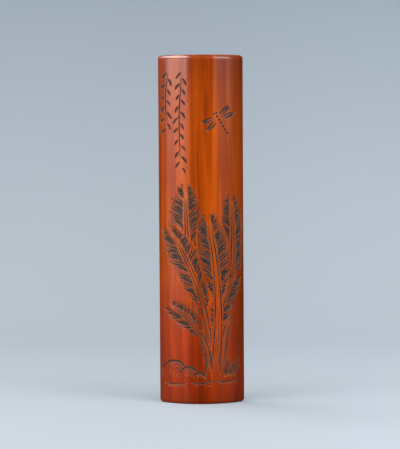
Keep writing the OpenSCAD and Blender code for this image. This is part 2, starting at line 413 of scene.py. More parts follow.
    def relief(self, points: np.ndarray) -> np.ndarray:
        """Hollow the blade a little on both sides of the raised rib.

        Args:
            points: Front view points, one row each.

        Returns:
            Depth of the hollow at each point.
        """
        away = np.full(len(points), FAR)
        rib = np.zeros(len(points))
        for share in np.linspace(*self.rib_samples):
            spot = self.rib(share)
            gap = np.hypot(points[:, 0] - spot[0], points[:, 1] - spot[1])
            rib = np.where(gap < away, self.rib_half(share), rib)
            away = np.minimum(away, gap)
        return self.hollow * ease(*self.hollow_rim, away - rib)


@dataclass
class WillowSprig(Motif):
    """Hanging sprig with narrow leaflets on alternate sides."""

    top: Pair
    length: float
    lean: float = -1.5
    bow: float = -2.4
    pitch: float = 4.4
    stem_cut: Pair = (0.9, 0.6)
    leaflet: float = 7.0
    leaflet_gap: float = 0.7
    leaflet_bow: float = 0.7
    leaflet_depth: float = 0.75
    angle_spread: Pair = (34.0, 7.0)
    reach_spread: Pair = (1.0, 0.14)
    width_spread: Pair = (1.75, 0.25)

    def gouges(self) -> list[Gouge]:
        """Return the stem and its leaflets."""
        top = np.array(self.top)
        end = top + np.array([self.lean, -self.length])
        down = heading(end - top)
        cuts = [Gouge(top, end, self.bow, *self.stem_cut)]
        count = int(self.length / self.pitch)
        for k in range(1, count + 1):
            side = 1 if k % 2 == 0 else -1
            share = k / (count + 0.5)
            root = top + share * (end - top) + polar(down + 90, arch(self.bow, share))
            way = down + side * vary(self.angle_spread, k)
            tip = root + polar(way, self.leaflet * vary(self.reach_spread, 3 * k))
            start = root + polar(way, self.leaflet_gap)
            width = vary(self.width_spread, 2 * k)
            cuts.append(Gouge(start, tip, side * self.leaflet_bow, width, self.leaflet_depth))
        return cuts


@dataclass
class Dragonfly(Motif):
    """Dragonfly with a slim body and four wings, drawn about its shoulders as if it flew along X.

    A row of wing_roots holds a wing pair's place along the body and its angle. A row of wing_strokes holds a
    stroke's start and end as shares of the wing, the lift at both, and its bow and width.
    """

    shoulders: Pair
    angle: float = 122.0
    length: float = 19.0
    depth: float = 0.7
    body_span: Pair = (-0.75, 0.2)
    joints: int = 7
    joint_gap: float = 0.15
    body_width: float = 1.5
    head: float = 0.25
    eye_start: Pair = (0.0, 0.2)
    eye_end: Pair = (0.3, 2.0)
    eye_bow: float = -0.2
    eye_width: float = 1.7
    wing: float = 13.0
    wing_lift: float = 0.75
    wing_aside: float = 1.6
    wing_roots: tuple[Pair, ...] = ((2.0, 78.0), (-0.4, 102.0))
    wing_strokes: tuple[tuple[float, ...], ...] = (
        (0.0, 1.0, 0.0, 0.0, 1.3, 1.15), (0.0, 1.0, 0.0, 0.0, -1.3, 1.15),
        (0.16, 0.9, 0.0, 0.0, 0.1, 0.75), (0.45, 0.85, 1.0, 0.5, 0.1, 0.5))

    def gouges(self) -> list[Gouge]:
        """Return the strokes, turned and moved to their place."""
        cuts = []
        for start, end, bow, width in self.strokes():
            turned = [polar(self.angle + heading(p), norm(p)) for p in (start, end)]
            start, end = (np.array(self.shoulders) + p for p in turned)
            cuts.append(Gouge(start, end, bow, width, self.depth))
        return cuts

    def strokes(self) -> Iterable[tuple[np.ndarray, np.ndarray, float, float]]:
        """Draw the body's joints, both eyes and the wings.

        Returns:
            Start, end, bow and width of one stroke after another.
        """
        joints = np.linspace(self.body_span[0] * self.length, self.body_span[1] * self.length, self.joints)
        for a, b in zip(joints[:-1], joints[1:]):
            ends = [np.array([x, 0.0]) for x in (a + self.joint_gap, b - self.joint_gap)]
            yield ends[0], ends[1], 0.0, self.body_width
        head = self.head * self.length
        for side in SIDES:
            eye = [np.array([head + x, side * y]) for x, y in (self.eye_start, self.eye_end)]
            yield eye[0], eye[1], side * self.eye_bow, self.eye_width
        for side in SIDES:
            for along, angle in self.wing_roots:
                root = np.array([along, side * self.wing_aside])
                reach = polar(side * angle, self.wing)
                lift = polar(side * angle - 90, self.wing_lift)
                for low, high, low_lift, high_lift, bow, width in self.wing_strokes:
                    start = root + low * reach + low_lift * lift
                    yield start, root + high * reach + high_lift * lift, bow, width


@dataclass
class StoneGroup(Motif):
    """One of the rounded stones on the ground, which stand from back to front.

    A stone is its left and right end and its height. A row of arcs holds the start, end and bow of a shading
    cut as shares of the stone, and its width. A row of ticks holds a place on the stone, as shares too.
    """

    part: int
    ground: float = 19.5
    stones: tuple[Triple, ...] = ((-30, -13, 15), (-17.5, -3, 10.5), (-7, 3, 6))
    inset: float = 0.8
    line_cut: Pair = (1.7, 0.9)
    arcs: tuple[tuple[float, ...], ...] = (
        (0.35, 0.93, 0.66, 0.78), (0.48, 0.89, 0.46, 0.66), (0.61, 0.85, 0.26, 0.54))
    arc_feet: Pair = (0.1, 0.08)
    arc_depth: float = 0.5
    ticks: Curve = ((0.3, 0.8275), (0.38, 0.84), (0.46, 0.8275), (0.54, 0.79), (0.62, 0.7275))
    tick_spread: Pair = (-70.0, 20.0)
    tick_length: float = 1.8
    tick_cut: Triple = (0.1, 0.6, 0.4)
    reserve: float = 0.6
    outline_turn: int = 8

    def spot(self, share: float, rise: float) -> np.ndarray:
        """Return the point at shares of the stone's width and height."""
        left, right, height = self.stones[self.part]
        return np.array([left + share * (right - left), self.ground + rise * height])

    def gouges(self) -> list[Gouge]:
        """Return the outline of the stone, the arcs that shade its right side and the ticks at its top."""
        height = self.stones[self.part][2]
        cuts = [Gouge(self.spot(0.0, 0.0), self.spot(1.0, 0.0), height - self.inset, *self.line_cut)]
        for low, high, bow, width in self.arcs:
            start, end = self.spot(low, self.arc_feet[0]), self.spot(high, self.arc_feet[1])
            cuts.append(Gouge(start, end, bow * height, width, self.arc_depth))
        for k, place in enumerate(self.ticks):
            start = self.spot(*place)
            way = polar(vary(self.tick_spread, k), self.tick_length)
            cuts.append(Gouge(start, start + way, *self.tick_cut))
        return cuts

    def outline(self) -> np.ndarray:
        """Return the outline of the stone, grown by the uncut reserve."""
        left, right, height = self.stones[self.part]
        rise = height + self.reserve
        radius = arc_radius(right - left, rise)
        middle = np.array([(left + right) / 2, self.ground + rise - radius])
        return np.array([middle + polar(a, radius) for a in range(0, 360, self.outline_turn)])


@dataclass
class GrassTuft(Motif):
    """Tuft of thin grass blades."""

    foot: Pair = (17.5, 20.4)
    pitch: float = 0.95
    count: int = 10
    blade: float = 14.0
    fan: float = 4.6
    bend: float = 0.22
    foot_spread: Pair = (0.0, 0.5)
    reach_spread: Pair = (1.0, 0.25)
    blade_cut: Pair = (0.95, 0.7)

    def gouges(self) -> list[Gouge]:
        """Return one cut for each blade, fanned from left to right."""
        cuts = []
        for k in range(self.count):
            from_middle = k - (self.count - 1) / 2
            start = np.array(self.foot) + np.array([self.pitch * k, vary(self.foot_spread, 4 * k)])
            way = polar(90 - self.fan * from_middle, self.blade * vary(self.reach_spread, 2 * k))
            cuts.append(Gouge(start, start + way, self.bend * from_middle, *self.blade_cut))
        return cuts


@dataclass
class GroundLine(Motif):
    """Long strokes that mark the ground, with short ticks under them."""

    start: Pair = (-30.0, 15.8)
    count: int = 3
    step: Pair = (20.0, 1.0)
    reach: Pair = (19.0, 0.8)
    long_cut: Triple = (-0.9, 1.2, 0.6)
    ticks: int = 3
    first_tick: float = 3.0
    tick_pitch: float = 5.2
    tick_length: float = 4.2
    sink_spread: Pair = (-1.6, -0.5)
    tilt_spread: Pair = (0.0, 0.3)
    tick_cut: Triple = (-0.3, 0.6, 0.35)

    def gouges(self) -> list[Gouge]:
        """Return the long strokes and the ticks."""
        cuts = []
        for i in range(self.count):
            start = np.array(self.start) + np.array(self.step) * i
            cuts.append(Gouge(start, start + np.array(self.reach), *self.long_cut))
            for k in range(self.ticks):
                along = self.first_tick + self.tick_pitch * k
                spot = start + np.array([along, vary(self.sink_spread, k + i)])
                way = np.array([self.tick_length, vary(self.tilt_spread, k)])
                cuts.append(Gouge(spot, spot + way, *self.tick_cut))
        return cuts


@dataclass
class Carving:
    """Whole picture: motifs from back to front, and the field that they keep to.

    Args:
        motifs: Parts of the picture, from back to front.
        half_width: Distance of the field's edge from the middle line, in millimetres.
        edge_fade: Distance over which cuts run out at the field's edge.
        ink_level: Depth under the ground at which the ink starts.
        margin: Growth of a motif's box.
        soft: Distance on both sides of an outline over which it hides what lies behind.
        hollow_rim: Distances inside an outline between which its hollow sets in.
    """

    motifs: list[Motif]
    half_width: float = 31.4
    edge_fade: float = 0.5
    ink_level: float = 0.16
    margin: float = 1.0
    soft: float = 0.15
    hollow_rim: Pair = (0.3, 2.2)
    cuts: list[list[Gouge]] = field(init=False)

    def __post_init__(self) -> None:
        """Draw the cuts of every motif once."""
        self.cuts = [motif.gouges() for motif in self.motifs]

    @staticmethod
    def within(points: np.ndarray, shape: np.ndarray) -> np.ndarray:
        """Measure how far points lie inside a closed outline.

        Args:
            points: Front view points, one row each.
            shape: Corners of the outline.

        Returns:
            Distance to the outline, positive inside and negative outside.
        """
        inside = np.zeros(len(points), dtype=bool)
        nearest = np.full(len(points), FAR)
        x, z = points[:, 0], points[:, 1]
        for a, b in zip(shape, np.roll(shape, -1, axis=0)):
            way = b - a
            part = np.clip(((points - a) @ way) / max(float(way @ way), TINY), 0.0, 1.0)
            nearest = np.minimum(nearest, np.hypot(x - a[0] - part * way[0], z - a[1] - part * way[1]))
            if a[1] != b[1]:
                crosses = (a[1] > z) != (b[1] > z)
                inside ^= crosses & (x < way[0] * (z - a[1]) / way[1] + a[0])
        return np.where(inside, nearest, -nearest)

    @staticmethod
    def pick(points: np.ndarray, low: np.ndarray, high: np.ndarray) -> np.ndarray:
        """Return the rows of the points that lie in a box."""
        return np.nonzero(((points >= low) & (points <= high)).all(axis=1))[0]

    def near(self, points: np.ndarray, margin: float) -> np.ndarray:
        """Tell which points lie in a cut or within a margin of one.

        Args:
            points: Front view points, one row each.
            margin: Distance in millimetres.

        Returns:
            One truth value for each point.
        """
        found = np.zeros(len(points), dtype=bool)
        for cut in (c for group in self.cuts for c in group):
            rows = self.pick(points, *cut.box(margin))
            left, right = cut.sides(points[rows])
            found[rows] |= np.minimum(left, right) > -margin
        return found

    def measure(self, points: np.ndarray) -> tuple[np.ndarray, np.ndarray, np.ndarray]:
        """Work out the carved face at points.

        Args:
            points: Front view points, one row each.

        Returns:
            Depth of the ground under the face, depth of the cut under the ground, and the number of the motif
            that the cut belongs to, or -1.
        """
        ground = np.zeros(len(points))
        depth = np.zeros(len(points))
        owner = np.full(len(points), -1)
        for number, motif in enumerate(self.motifs):
            shape = motif.outline()
            if shape is not None:
                rows = self.pick(points, shape.min(axis=0) - self.margin, shape.max(axis=0) + self.margin)
                inside = self.within(points[rows], shape)
                keep = 1.0 - ease(-self.soft, self.soft, inside)
                hollow = motif.relief(points[rows]) * ease(*self.hollow_rim, inside)
                depth[rows] *= keep
                ground[rows] = ground[rows] * keep + hollow
                owner[rows[inside > 0]] = -1
            for cut in self.cuts[number]:
                rows = self.pick(points, *cut.box(0.0))
                found = cut.depths(points[rows])
                deeper = found > depth[rows]
                depth[rows] = np.maximum(depth[rows], found)
                owner[rows[deeper]] = number
        edge = ease(0.0, self.edge_fade, self.half_width - np.abs(points[:, 0]))
        return ground * edge, depth * edge, owner


class Wiring:
    """Small helper that adds and links shader nodes in one tree."""

    def __init__(self, tree: bpy.types.NodeTree) -> None:
        """Keep the tree and clear it."""
        self.tree = tree
        tree.nodes.clear()

    @classmethod
    def material(cls, name: str) -> tuple["Wiring", bpy.types.Material, Socket]:
        """Start a material.

        Args:
            name: Name of the material.

        Returns:
            The wiring helper, the material and its object coordinates.
        """
        material = bpy.data.materials.new(name)
        material.use_nodes = True
        wire = cls(material.node_tree)
        return wire, material, wire.add("ShaderNodeTexCoord").outputs["Object"]

    def add(self, kind: str, **settings: Any) -> bpy.types.Node:
        """Add a node.

        Args:
            kind: Type of the node.
            settings: Properties to set on it.

        Returns:
            The node.
        """
        node = self.tree.nodes.new(kind)
        for name, value in settings.items():
            setattr(node, name, value)
        return node

    def feed(self, node: bpy.types.Node, **inputs: Any) -> bpy.types.Node:
        """Link sockets to a node's inputs, or set plain values on them.

        Args:
            node: Node that takes the inputs.
            inputs: Values by input name, with _ for a space, or by number as in i0. A colour has three parts.

        Returns:
            The same node.
        """
        for name, value in inputs.items():
            key = int(name[1:]) if name[0] == "i" and name[1:].isdigit() else name.replace("_", " ")
            socket = node.inputs[key]
            if isinstance(value, Socket):
                self.tree.links.new(value, socket)
            else:
                socket.default_value = (*value, 1.0) if socket.type == "RGBA" else value
        return node

    def math(self, operation: str, a: Any, b: Any = 0.0) -> Socket:
        """Return the result of a math node."""
        return self.feed(self.add("ShaderNodeMath", operation=operation), i0=a, i1=b).outputs[0]

    def vector(self, operation: str, **inputs: Any) -> bpy.types.Node:
        """Add a vector math node and feed it."""
        return self.feed(self.add("ShaderNodeVectorMath", operation=operation), **inputs)

    def span(self, value: Any, low: float, high: float, to_low: float = 0.0, to_high: float = 1.0) -> Socket:
        """Return a value mapped smoothly from one span to another."""
        node = self.add("ShaderNodeMapRange", interpolation_type="SMOOTHSTEP")
        return self.feed(node, i0=value, i1=low, i2=high, i3=to_low, i4=to_high).outputs[0]

    def noise(self, vector: Any, scale: float, detail: float = 3.0) -> Socket:
        """Return the value of a noise texture."""
        return self.feed(self.add("ShaderNodeTexNoise"), Vector=vector, Scale=scale, Detail=detail).outputs[0]

    def blend(self, share: Any, low: Any, high: Any, mode: str = "MIX") -> Socket:
        """Return two colours mixed by a share."""
        node = self.add("ShaderNodeMix", data_type="RGBA", blend_type=mode)
        return self.feed(node, i0=share, i6=low, i7=high).outputs[2]

    def glaze(self, colour: Socket, *layers: tuple[Socket, float, Triple]) -> Socket:
        """Lay thin colours over a colour.

        Args:
            colour: Colour underneath.
            layers: For each layer a mask, its share, and the layer's colour.

        Returns:
            The colour with all layers.
        """
        for mask, share, tint in layers:
            colour = self.blend(self.math("MULTIPLY", mask, share), colour, tint)
        return colour

    def ramp(self, value: Any, stops: Stops) -> Socket:
        """Look up a colour on a ramp.

        Args:
            value: Place on the ramp, from 0 to 1.
            stops: Places and their colours.

        Returns:
            The colour.
        """
        node = self.feed(self.add("ShaderNodeValToRGB"), Fac=value)
        elements = node.color_ramp.elements
        for i, (place, colour) in enumerate(stops):
            stop = elements[i] if i < 2 else elements.new(place)
            stop.position = place
            stop.color = (*colour, 1.0)
        return node.outputs[0]

    def curve(self, value: Any, stops: Curve) -> Socket:
        """Return the height of a curve of straight steps at a value."""
        return self.ramp(value, tuple((place, (height,) * 3) for place, height in stops))

    def axes(self, vector: Any) -> Any:
        """Return the X, Y and Z outputs of a vector."""
        return self.feed(self.add("ShaderNodeSeparateXYZ"), Vector=vector).outputs

    def mark(self, name: str) -> Socket:
        """Return a value that the mesh keeps at its points."""
        return self.add("ShaderNodeAttribute", attribute_name=name).outputs["Fac"]

    def group(self, tree: bpy.types.NodeTree, **inputs: Any) -> Any:
        """Place a node group, feed it and return its outputs."""
        return self.feed(self.add("ShaderNodeGroup", node_tree=tree), **inputs).outputs

    def surface(self, **inputs: Any) -> None:
        """Add the surface shader and the output."""
        shader = self.feed(self.add("ShaderNodeBsdfPrincipled"), **inputs)
        self.tree.links.new(shader.outputs[0], self.add("ShaderNodeOutputMaterial").inputs[0])

    def bump(self, height: Any, strength: float, distance: float) -> Socket:
        """Return a normal from a height."""
        node = self.feed(self.add("ShaderNodeBump"), Height=height, Strength=strength, Distance=distance)
        return node.outputs[0]


class Effects:
    """Shader node groups that several finishes share."""

    def __init__(self) -> None:
        """Build each group once."""
        self.fibre = self.build_fibre()
        self.handling = self.build_handling()

    @staticmethod
    def start(name: str, inputs: Iterable[str], outputs: Iterable[str]) -> tuple[Wiring, bpy.types.NodeTree]:
        """Make an empty group with a Vector input, number inputs and number outputs.

        Args:
            name: Name of the group.
            inputs: Names of the number inputs.
            outputs: Names of the outputs.

        Returns:
            The wiring helper and the group.
        """
        tree = bpy.data.node_groups.new(name, "ShaderNodeTree")
        tree.interface.new_socket("Vector", in_out="INPUT", socket_type="NodeSocketVector")
        for way, labels in (("INPUT", inputs), ("OUTPUT", outputs)):
            for label in labels:
                tree.interface.new_socket(label, in_out=way, socket_type="NodeSocketFloat")
        return Wiring(tree), tree

    def build_fibre(self) -> bpy.types.NodeTree:
        """Return the group of bamboo fibres: fine streaks, broad bands and short dark strands along Z."""
        wire, tree = self.start("Bamboo fibre", ("Fine", "Long"), ("Streak", "Band", "Strand"))
        source = wire.add("NodeGroupInput").outputs
        fine = source["Fine"]
        stretch = wire.feed(wire.add("ShaderNodeCombineXYZ"), X=fine, Y=fine, Z=source["Long"]).outputs[0]
        spot = wire.vector("MULTIPLY", i0=source["Vector"], i1=stretch).outputs[0]
        slow = wire.vector("MULTIPLY", i0=spot, i1=(0.14, 0.14, 0.8)).outputs[0]
        wire.feed(wire.add("NodeGroupOutput"),
                  Streak=wire.span(wire.noise(spot, 0.5, 5.0), 0.32, 0.68),
                  Band=wire.span(wire.noise(slow, 1.0, 2.0), 0.38, 0.62),
                  Strand=wire.span(wire.noise(spot, 1.2, 2.0), 0.58, 0.72))
        return tree

    def build_handling(self) -> bpy.types.NodeTree:
        """Return the group of handling marks: soft clouds of patina and small smudges."""
        wire, tree = self.start("Handling", ("Size",), ("Cloud", "Smudge"))
        source = wire.add("NodeGroupInput").outputs
        spot = wire.vector("SCALE", i0=source["Vector"], Scale=source["Size"]).outputs[0]
        wire.feed(wire.add("NodeGroupOutput"),
                  Cloud=wire.span(wire.noise(spot, 1.0, 2.0), 0.35, 0.65),
                  Smudge=wire.span(wire.noise(spot, 6.0, 3.0), 0.4, 0.66))
        return tree

    def grain(self, wire: Wiring, place: Socket, scale: Triple) -> tuple[Any, Any]:
        """Place both groups in a material.

        Args:
            wire: Wiring of the material.
            place: Object coordinates.
            scale: Fibres per metre across and along the grain, and handling marks per metre.

        Returns:
            Outputs of the fibre group and of the handling group.
        """
        fibre = wire.group(self.fibre, Vector=place, Fine=scale[0], Long=scale[1])
        return fibre, wire.group(self.handling, Vector=place, Size=scale[2])


@dataclass(frozen=True)
class PolishedSkin:
    """Aged, hand-polished outer skin of the culm.

    Args:
        deep: Colour of the dark bands.
        warm: Colour of the light bands.
        strand: Colour of the thin dark fibres.
        stain_and_shade: Colour where ink has soaked into the edge of a cut, which also paints the shade in
            the cuts and in the leaves' hollows.
        wear_and_highlight: Colour of the rubbed edge of a cut, pale from wear and as a painted highlight
            along the rim.
        height_tone: Tone by height, darker towards the foot and towards the top.
        bands_and_side_light: Tone across the slab: broad bands where the culm has grown, with a painted
            highlight that brightens both flanks and painted shade that darkens the right edge.
        sway: How far those bands wander.
        flank_shade: Share of the strand colour laid towards the long edges as painted shade.
        hollow_stain_and_shade: Share of the stain in the hollow of a leaf, by its depth in millimetres: ink
            stain, and painted shade that darkens the hollow as it deepens.
        cut_stain_and_shade: Depths in a cut between which the stain sets in, as ink soaked into the walls and
            as painted shade inside the cut.
        cut_wear_and_highlight: Share of the worn colour at the edge of a cut, for wear and painted highlight
            alike.
        flanks: Share of the polish across the slab.
        gloss: Polish by height.
        top_gloss: Heights between which the rounded top rim takes on full polish.
    """

    deep: Triple = (0.3, 0.042, 0.0015)
    warm: Triple = (0.5, 0.09, 0.002)
    strand: Triple = (0.15, 0.018, 0.0015)
    stain_and_shade: Triple = (0.075, 0.028, 0.012)
    wear_and_highlight: Triple = (0.62, 0.22, 0.08)
    length: float = 0.272
    width: float = 0.066
    grain: Triple = (1150.0, 9.0, 26.0)
    height_tone: Stops = (
        (0.0, (0.4, 0.2, 0.4)), (0.04, (0.57, 0.28, 0.5)), (0.2, (0.78, 0.45, 0.6)), (0.45, (1.0, 0.95, 1.0)),
        (0.82, (1.0, 1.0, 1.0)), (0.96, (0.6, 0.56, 0.9)), (1.0, (0.52, 0.48, 0.8)))
    bands_and_side_light: Stops = (
        (0.0, (0.9, 0.85, 1.0)), (0.08, (1.35, 1.2, 1.0)), (0.3, (1.42, 1.25, 1.0)), (0.4, (1.2, 1.15, 1.0)),
        (0.49, (0.95, 0.8, 1.0)), (0.55, (0.88, 0.76, 1.0)), (0.6, (1.42, 1.32, 1.0)),
        (0.68, (1.36, 1.26, 1.0)), (0.85, (1.08, 1.0, 1.0)), (1.0, (0.58, 0.52, 1.0)))
    sway: Span = (0.25, 0.75, -0.05, 0.05)
    flank_shade: Span = (0.022, 0.033, 0.0, 0.35)
    hollow_stain_and_shade: Span = (0.05, 0.26, 0.0, 0.5)
    cut_stain_and_shade: Pair = (0.1, 0.26)
    cut_wear_and_highlight: Span = (0.0, 0.05, 0.0, 0.5)
    flanks: Curve = ((0.0, 0.6), (0.08, 1.0), (0.33, 1.0), (0.4, 0.06), (0.62, 0.04), (0.69, 0.62),
                     (0.88, 0.55), (0.96, 0.0))
    gloss: Curve = ((0.0, 0.12), (0.65, 0.13), (0.85, 0.3), (0.97, 0.48))
    top_gloss: Pair = (0.978, 0.99)
    rough: Pair = (0.14, 0.2)

    def build(self, effects: Effects) -> bpy.types.Material:
        """Wire the material.

        Args:
            effects: Node groups that the finishes share.

        Returns:
            The material.
        """
        wire, material, place = Wiring.material("polished bamboo skin")
        axes = wire.axes(place)
        fibre, marks = effects.grain(wire, place, self.grain)
        height = wire.math("DIVIDE", axes["Z"], self.length)
        across = wire.math("ADD", wire.math("DIVIDE", axes["X"], self.width), 0.5)
        bands = wire.math("ADD", across, wire.span(wire.noise(place, 12.0, 2.0), *self.sway))
        # Painted shade: the strand colour darkens the face towards its long edges
        side = wire.span(wire.math("ABSOLUTE", axes["X"]), *self.flank_shade)
        cut = wire.mark("cut")
        # Ink soaked into a cut's walls, and painted shade that darkens them with depth
        soaked_and_shaded = wire.span(cut, *self.cut_stain_and_shade)
        # Pale rim of each cut: rubbed wear and a painted highlight
        wear_and_highlight = wire.math("MULTIPLY", wire.span(cut, *self.cut_wear_and_highlight), wire.math("SUBTRACT", 1.0, soaked_and_shaded))

        colour = wire.blend(fibre["Band"], self.deep, self.warm)
        # Darker towards the foot and towards the top
        colour = wire.blend(1.0, colour, wire.ramp(height, self.height_tone), "MULTIPLY")
        # Grown bands across the slab, with painted highlights on both flanks and painted shade at the right
        # edge
        colour = wire.blend(1.0, colour, wire.ramp(bands, self.bands_and_side_light), "MULTIPLY")
        colour = wire.blend(side, colour, self.strand)
        colour = wire.glaze(colour, (fibre["Streak"], 0.42, self.deep), (fibre["Strand"], 0.5, self.strand),
                            (marks["Cloud"], 0.2, self.strand))
        # Ink stain and painted shade in the leaves' hollows, darker where they are deeper
        colour = wire.blend(wire.span(wire.mark("hollow"), *self.hollow_stain_and_shade), colour, self.stain_and_shade)
        colour = wire.blend(wear_and_highlight, colour, self.wear_and_highlight)
        # Ink stain and painted shade on the cut walls
        colour = wire.glaze(colour, (soaked_and_shaded, 0.6, self.stain_and_shade))

        rough = wire.math("ADD", wire.span(fibre["Streak"], 0.0, 1.0, *self.rough),
                          wire.math("MULTIPLY", marks["Smudge"], 0.05))
        rough = wire.math("ADD", rough, wire.math("MULTIPLY", soaked_and_shaded, 0.12))
        relief = wire.math("SUBTRACT", fibre["Streak"], wire.math("MULTIPLY", fibre["Strand"], 0.6))
        gloss = wire.math("MAXIMUM", wire.curve(height, self.gloss), wire.span(height, *self.top_gloss))
        polish = wire.math("MULTIPLY", wire.curve(across, self.flanks), gloss)
        wire.surface(Base_Color=colour, Roughness=rough, Normal=wire.bump(relief, 0.07, 0.0002),
                     Coat_Weight=polish, Coat_Roughness=0.2, Coat_IOR=1.8, Specular_IOR_Level=0.04)
        return material


@dataclass(frozen=True)
class ScrapedFlesh:
    """Hollow back of the slab: scraped culm flesh, with long fibres under a thin finish."""

    deep: Triple = (0.32, 0.095, 0.024)
    warm: Triple = (0.56, 0.23, 0.07)
    pore: Triple = (0.13, 0.035, 0.012)
    grain: Triple = (800.0, 5.0, 18.0)
    rough: Pair = (0.46, 0.6)

    def build(self, effects: Effects) -> bpy.types.Material:
        """Wire the material.

        Args:
            effects: Node groups that the finishes share.

        Returns:
            The material.
        """
        wire, material, place = Wiring.material("scraped bamboo flesh")
        fibre, marks = effects.grain(wire, place, self.grain)
        colour = wire.blend(fibre["Band"], self.deep, self.warm)
        colour = wire.glaze(colour, (fibre["Streak"], 0.5, self.deep), (fibre["Strand"], 0.8, self.pore),
                            (marks["Cloud"], 0.35, self.deep))
        rough = wire.math("ADD", wire.span(fibre["Streak"], 0.0, 1.0, *self.rough),
                          wire.math("MULTIPLY", marks["Smudge"], 0.1))
        relief = wire.math("SUBTRACT", fibre["Streak"], fibre["Strand"])
        wire.surface(Base_Color=colour, Roughness=rough, Normal=wire.bump(relief, 0.4, 0.0003),
                     Specular_IOR_Level=0.4)
        return material


@dataclass(frozen=True)
class SawnEnd:
    """Sawn and eased ends, where the fibre bundles show as dots that crowd towards the skin."""

    ground: Triple = (0.34, 0.075, 0.014)
    bundle: Triple = (0.09, 0.022, 0.008)
    axis_y: float = 0.03595
    skin_radius: float = 0.044
    wall: float = 0.0065
    bundles: float = 1250.0
    marks: float = 60.0
    dot: Span = (0.18, 0.42, 1.0, 0.0)
    rough: Pair = (0.36, 0.52)

    def build(self, effects: Effects) -> bpy.types.Material:
        """Wire the material.

        Args:
            effects: Node groups that the finishes share.

        Returns:
            The material.
        """
        wire, material, place = Wiring.material("sawn bamboo end")
        axes = wire.axes(place)
        back = wire.math("SUBTRACT", axes["Y"], self.axis_y)
        squares = [wire.math("MULTIPLY", axis, axis) for axis in (axes["X"], back)]
        radius = wire.math("SQRT", wire.math("ADD", *squares))
        outer = wire.span(radius, self.skin_radius - self.wall, self.skin_radius)
        bundles = wire.feed(wire.add("ShaderNodeTexVoronoi"), Vector=place, Scale=self.bundles)
        cells = bundles.outputs["Distance"]
        dots = wire.math("MULTIPLY", wire.span(cells, *self.dot), wire.span(outer, 0.0, 1.0, 0.45, 1.0))
        marks = wire.group(effects.handling, Vector=place, Size=self.marks)
        colour = wire.blend(wire.math("MULTIPLY", outer, 0.5), self.ground, self.bundle)
        colour = wire.blend(dots, colour, self.bundle)
        colour = wire.glaze(colour, (marks["Cloud"], 0.3, self.bundle))
        rough = wire.span(marks["Smudge"], 0.0, 1.0, *self.rough)
        wire.surface(Base_Color=colour, Roughness=rough, Normal=wire.bump(dots, 0.25, 0.0002),
                     Coat_Weight=0.1, Coat_Roughness=0.3)
        return material


@dataclass(frozen=True)
class DriedInk:
    """Dark ink that has dried in the cuts, thin on their flanks and dusty at the bottom."""

    black: Triple = (0.012, 0.007, 0.005)
    brown: Triple = (0.055, 0.022, 0.012)
    dust: Triple = (0.1, 0.062, 0.045)
    grain: Triple = (1400.0, 60.0, 120.0)
    rough: Pair = (0.34, 0.55)

    def build(self, effects: Effects) -> bpy.types.Material:
        """Wire the material.

        Args:
            effects: Node groups that the finishes share.

        Returns:
            The material.
        """
        wire, material, place = Wiring.material("dried ink")
        fibre, marks = effects.grain(wire, place, self.grain)
        colour = wire.blend(marks["Cloud"], self.black, self.brown)
        colour = wire.glaze(colour, (fibre["Streak"], 0.4, self.brown), (marks["Smudge"], 0.36, self.dust))
        rough = wire.span(marks["Smudge"], 0.0, 1.0, *self.rough)
        crust = wire.math("ADD", fibre["Streak"], marks["Smudge"])
        wire.surface(Base_Color=colour, Roughness=rough, Normal=wire.bump(crust, 0.5, 0.0003),
                     Specular_IOR_Level=0.28)
        return material


@dataclass(frozen=True)
class PaperSweep:
    """Pale blue-grey paper of the studio sweep, with painted shade that darkens it a little towards the top
    and towards the left.

    The walls beyond the lamps' reach keep a painted glow of their own, seen by the camera and in reflections,
    which lights nothing.

    Args:
        near: Colour on the floor.
        far: Colour high on the walls, darker as painted shade.
        rise: Heights in metres between which the colour changes.
        left_shade: Painted shade that darkens the paper from the right towards the left.
        glow: Strength of the walls' painted glow, by the distance from the slab.
    """

    near: Triple = (0.508, 0.573, 0.63)
    far: Triple = (0.357, 0.42, 0.488)
    rise: Pair = (0.0, 0.6)
    left_shade: Span = (-0.1, 0.35, 0.84, 1.0)
    glow: Span = (1.35, 3.0, 0.0, 0.85)

    def build(self) -> bpy.types.Material:
        """Wire the material.

        Returns:
            The material.
        """
        wire, material, place = Wiring.material("sweep paper")
        axes = wire.axes(place)
        # Painted shade: the paper darkens from the floor up the walls
        colour = wire.blend(wire.span(axes["Z"], *self.rise), self.near, self.far)
        # Painted shade: the paper darkens towards the left
        tone = wire.span(axes["X"], *self.left_shade)
        shade = wire.feed(wire.add("ShaderNodeCombineXYZ"), X=tone, Y=tone, Z=tone).outputs[0]
        colour = wire.blend(1.0, colour, shade, "MULTIPLY")
        away = wire.vector("LENGTH", i0=place).outputs["Value"]
        ray = wire.add("ShaderNodeLightPath").outputs
        seen = wire.math("MAXIMUM", ray["Is Camera Ray"],
                         wire.math("MAXIMUM", ray["Is Glossy Ray"], ray["Is Transmission Ray"]))
        glow = wire.math("MULTIPLY", seen, wire.span(away, *self.glow))
        wire.surface(Base_Color=colour, Roughness=0.9, Specular_IOR_Level=0.1, Emission_Color=self.far,
                     Emission_Strength=glow)
        return material


